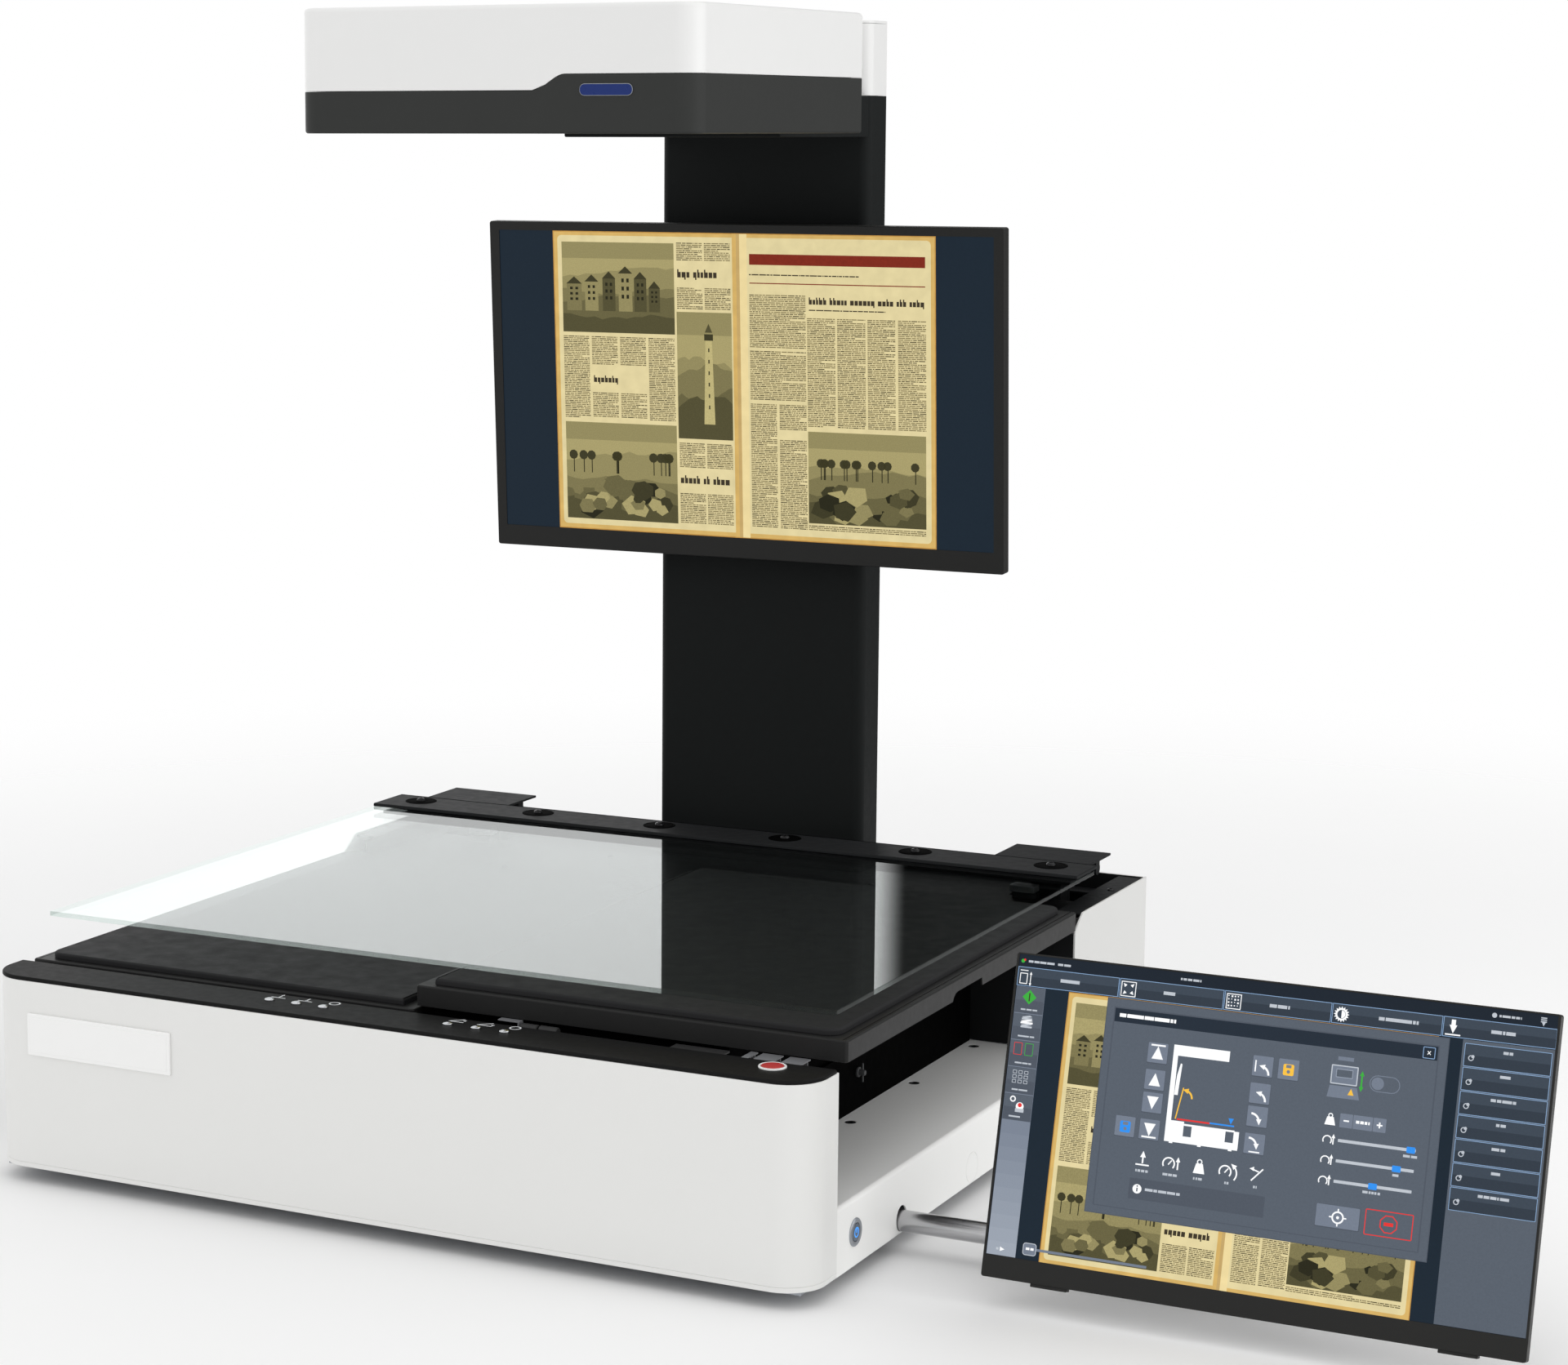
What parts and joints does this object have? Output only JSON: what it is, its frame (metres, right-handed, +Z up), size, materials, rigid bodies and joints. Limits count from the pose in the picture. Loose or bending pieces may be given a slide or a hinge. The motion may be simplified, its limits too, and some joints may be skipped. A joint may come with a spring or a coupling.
{
  "type": "overhead book scanner",
  "caption": "Large-format book scanner: box base with book trays under a hinged glass plate, rear column with an overhead camera head, tilting preview monitor and a touchscreen on a side arm.",
  "frame": {"origin": "middle of the bounding box, at the bottom, on the surface that the feet stand on", "axes": "+X to the operator's right, towards the touchscreen; +Y to the back, where the column is; +Z up"},
  "size_m": [1.8474, 1.105, 1.4185],
  "materials": {
    "white_paint": "fine-textured white powder coat",
    "white_plastic": "satin white moulded cover",
    "black_paint": "fine-textured black powder coat",
    "graphite_plastic": "satin graphite moulded housing",
    "black_aluminium": "black anodised, satin",
    "aluminium": "milled and clear anodised",
    "zinc_steel": "zinc plated sheet steel",
    "bright_steel": "brushed stainless steel",
    "rubber": "matt black rubber",
    "mat_rubber": "black non-slip mat",
    "dark_plastic": "fine-grained black plastic",
    "screen_glass": "display panel behind glass",
    "lamp_lens": "diffusing lamp cover",
    "clear_glass": "clear polished float glass",
    "red_plastic": "glossy red",
    "blue_plastic": "backlit blue"
  },
  "bodies": {
    "base": {"floor_pan": "zinc_steel", "foot_front_left": "rubber", "foot_front_right": "rubber", "foot_rear_left": "rubber", "foot_rear_right": "rubber", "front_cover": "white_paint", "front_bulkhead": "black_paint", "control_plate": "black_paint", "left_side_housing": "white_paint", "right_side_housing": "white_paint", "left_chassis_wall": "black_paint", "right_chassis_wall": "black_paint", "left_rear_panel": "white_paint", "right_rear_panel": "white_paint", "rear_deck": "black_paint", "rear_cover": "white_paint", "power_inlet": "dark_plastic", "column_shell": "black_paint", "neck_cover": "white_paint", "neck_beam": "black_paint", "head_upper_cover": "white_plastic", "head_lower_housing": "graphite_plastic", "camera_lens": "dark_plastic", "left_lamp": "lamp_lens", "right_lamp": "lamp_lens", "monitor_bracket": "black_paint", "arm_clamp": "aluminium", "arm_tube": "bright_steel", "glass_lift_guide": "zinc_steel", "left_lift_unit": "aluminium", "right_lift_unit": "aluminium"},
    "monitor": {"monitor_tilt_plate": "zinc_steel", "monitor_housing": "dark_plastic", "monitor_panel": "screen_glass"},
    "touchscreen_swivel": {"swivel_block": "dark_plastic"},
    "touchscreen": {"tilt_plate": "zinc_steel", "touchscreen_housing": "dark_plastic", "touchscreen_panel": "screen_glass"},
    "glass_lift": {"glass_lift_beam": "aluminium", "left_hinge_pin": "bright_steel", "right_hinge_pin": "bright_steel"},
    "glass": {"glass_plate": "clear_glass", "clamp_bar": "black_aluminium", "lower_clamp_strip": "black_aluminium", "left_hinge_plate": "black_paint", "right_hinge_plate": "black_paint"},
    "left_book_tray": {"left_tray": "black_aluminium", "left_tray_mat": "mat_rubber", "left_lift_carrier": "black_aluminium"},
    "right_book_tray": {"right_tray": "black_aluminium", "right_tray_mat": "mat_rubber", "right_lift_carrier": "black_aluminium"},
    "glass_up_key": {"glass_up_button": "bright_steel"},
    "glass_down_key": {"glass_down_button": "bright_steel"},
    "glass_park_key": {"glass_park_button": "bright_steel"},
    "tilt_open_key": {"tilt_open_button": "bright_steel"},
    "tilt_close_key": {"tilt_close_button": "bright_steel"},
    "tilt_park_key": {"tilt_park_button": "bright_steel"},
    "stop_key": {"stop_button": "red_plastic"},
    "power_key": {"power_button": "blue_plastic"}
  },
  "joints": [
    {"name": "monitor_tilt", "type": "hinge", "parent": "base", "child": "monitor", "pos_m": [-0.37217, 0.456, 0.922], "axis": [1, 0, 0], "range_deg": [-10, 8]},
    {"name": "touchscreen_swivel", "type": "hinge", "parent": "base", "child": "touchscreen_swivel", "pos_m": [0.62733, -0.2901, 0.16], "axis": [0, 0, 1], "range_deg": [-15, 30]},
    {"name": "touchscreen_tilt", "type": "hinge", "parent": "touchscreen_swivel", "child": "touchscreen", "pos_m": [0.62733, -0.3322, 0.1921], "axis": [1, 0, 0], "range_deg": [-20, 15]},
    {"name": "glass_lift", "type": "slide", "parent": "base", "child": "glass_lift", "axis": [0, 0, 1], "range_m": [-0.008, 0.06]},
    {"name": "glass_tilt", "type": "hinge", "parent": "glass_lift", "child": "glass", "pos_m": [-0.37217, 0.4875, 0.297], "axis": [-1, 0, 0], "range_deg": [0, 70]},
    {"name": "left_tray_lift", "type": "slide", "parent": "base", "child": "left_book_tray", "axis": [0, 0, 1], "range_m": [-0.05, 0.044]},
    {"name": "right_tray_lift", "type": "slide", "parent": "base", "child": "right_book_tray", "axis": [0, 0, 1], "range_m": [-0.08, 0.014]},
    {"name": "glass_up_press", "type": "slide", "parent": "base", "child": "glass_up_key", "axis": [0, 0, -1], "range_m": [0, 0.0012], "stiffness_N_per_m": 800},
    {"name": "glass_down_press", "type": "slide", "parent": "base", "child": "glass_down_key", "axis": [0, 0, -1], "range_m": [0, 0.0012], "stiffness_N_per_m": 800},
    {"name": "glass_park_press", "type": "slide", "parent": "base", "child": "glass_park_key", "axis": [0, 0, -1], "range_m": [0, 0.0012], "stiffness_N_per_m": 800},
    {"name": "tilt_open_press", "type": "slide", "parent": "base", "child": "tilt_open_key", "axis": [0, 0, -1], "range_m": [0, 0.0012], "stiffness_N_per_m": 800},
    {"name": "tilt_close_press", "type": "slide", "parent": "base", "child": "tilt_close_key", "axis": [0, 0, -1], "range_m": [0, 0.0012], "stiffness_N_per_m": 800},
    {"name": "tilt_park_press", "type": "slide", "parent": "base", "child": "tilt_park_key", "axis": [0, 0, -1], "range_m": [0, 0.0012], "stiffness_N_per_m": 800},
    {"name": "stop_press", "type": "slide", "parent": "base", "child": "stop_key", "axis": [0, 0, -1], "range_m": [0, 0.002], "stiffness_N_per_m": 800},
    {"name": "power_press", "type": "slide", "parent": "base", "child": "power_key", "axis": [-1, 0, 0], "range_m": [0, 0.0015], "stiffness_N_per_m": 800}
  ]
}
